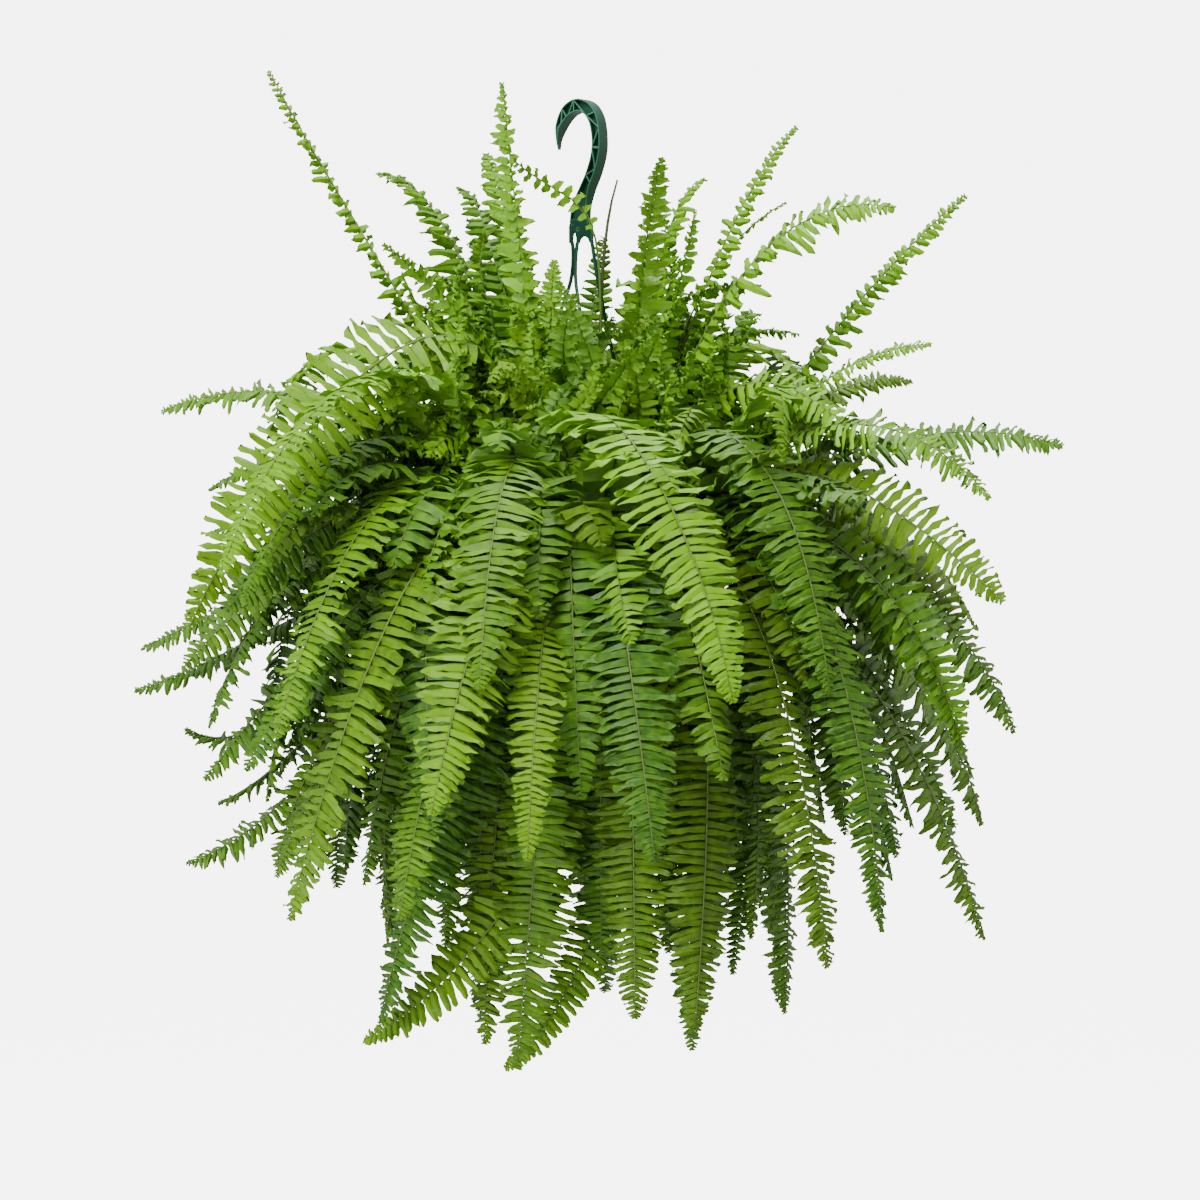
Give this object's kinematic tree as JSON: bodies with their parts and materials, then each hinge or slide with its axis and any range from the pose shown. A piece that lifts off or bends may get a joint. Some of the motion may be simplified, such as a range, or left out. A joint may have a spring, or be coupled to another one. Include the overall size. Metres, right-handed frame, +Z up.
{
  "type": "boston fern in hanging basket",
  "caption": "Leafy fern whose arching feathered fronds spread over a plastic nursery pot hung from a moulded hook with clip-on legs.",
  "frame": {"origin": "the inside top of the hook, on the seat where a rod or chain link carries the basket", "axes": "+Z up through the middle of the pot and the hook's seat; -Y is the side that the picture shows"},
  "size_m": [0.7376, 0.6364, 0.7851],
  "materials": {
    "pot": "satin dark green",
    "hanger": "satin dark green",
    "soil": "moist peat and bark",
    "leaf_young": "soft gloss, thin enough for light to pass",
    "leaf_green": "soft gloss, thin enough for light to pass",
    "leaf_old": "soft gloss"
  },
  "bodies": {
    "root": {"pot": "pot", "soil": "soil", "hanger": "hanger", "frond_01": "leaf_green", "frond_02": "leaf_green", "fronds_03": "leaf_young", "fronds_05": "leaf_green", "frond_06": "leaf_young", "frond_07": "leaf_green", "frond_08": "leaf_green", "frond_09": "leaf_young", "frond_10": "leaf_green", "fronds_11": "leaf_green", "fronds_12": "leaf_young", "frond_13": "leaf_green", "frond_14": "leaf_green", "frond_17": "leaf_green", "frond_18": "leaf_young", "frond_19": "leaf_green", "frond_20": "leaf_green", "frond_21": "leaf_young", "frond_22": "leaf_green", "frond_23": "leaf_green", "frond_24": "leaf_young", "frond_25": "leaf_green", "frond_26": "leaf_green", "frond_27": "leaf_young", "frond_28": "leaf_green", "frond_29": "leaf_green", "frond_30": "leaf_young", "frond_31": "leaf_green", "frond_32": "leaf_green", "fronds_33": "leaf_young", "fronds_34": "leaf_green", "frond_35": "leaf_green", "frond_37": "leaf_green", "frond_38": "leaf_green", "frond_39": "leaf_young", "fronds_40": "leaf_green", "frond_42": "leaf_young", "frond_43": "leaf_green", "frond_45": "leaf_young", "frond_46": "leaf_green", "frond_47": "leaf_green", "frond_48": "leaf_young", "frond_49": "leaf_green", "frond_50": "leaf_green", "frond_51": "leaf_young", "frond_52": "leaf_green", "frond_54": "leaf_young", "frond_55": "leaf_green", "fronds_back_5": "leaf_old", "fronds_back_1": "leaf_old", "fronds_back_2": "leaf_old", "fronds_back_3": "leaf_old", "fronds_back_4": "leaf_old", "fronds_back_6": "leaf_old", "fronds_back_7": "leaf_old", "fronds_back_8": "leaf_old"}
  },
  "joints": []
}
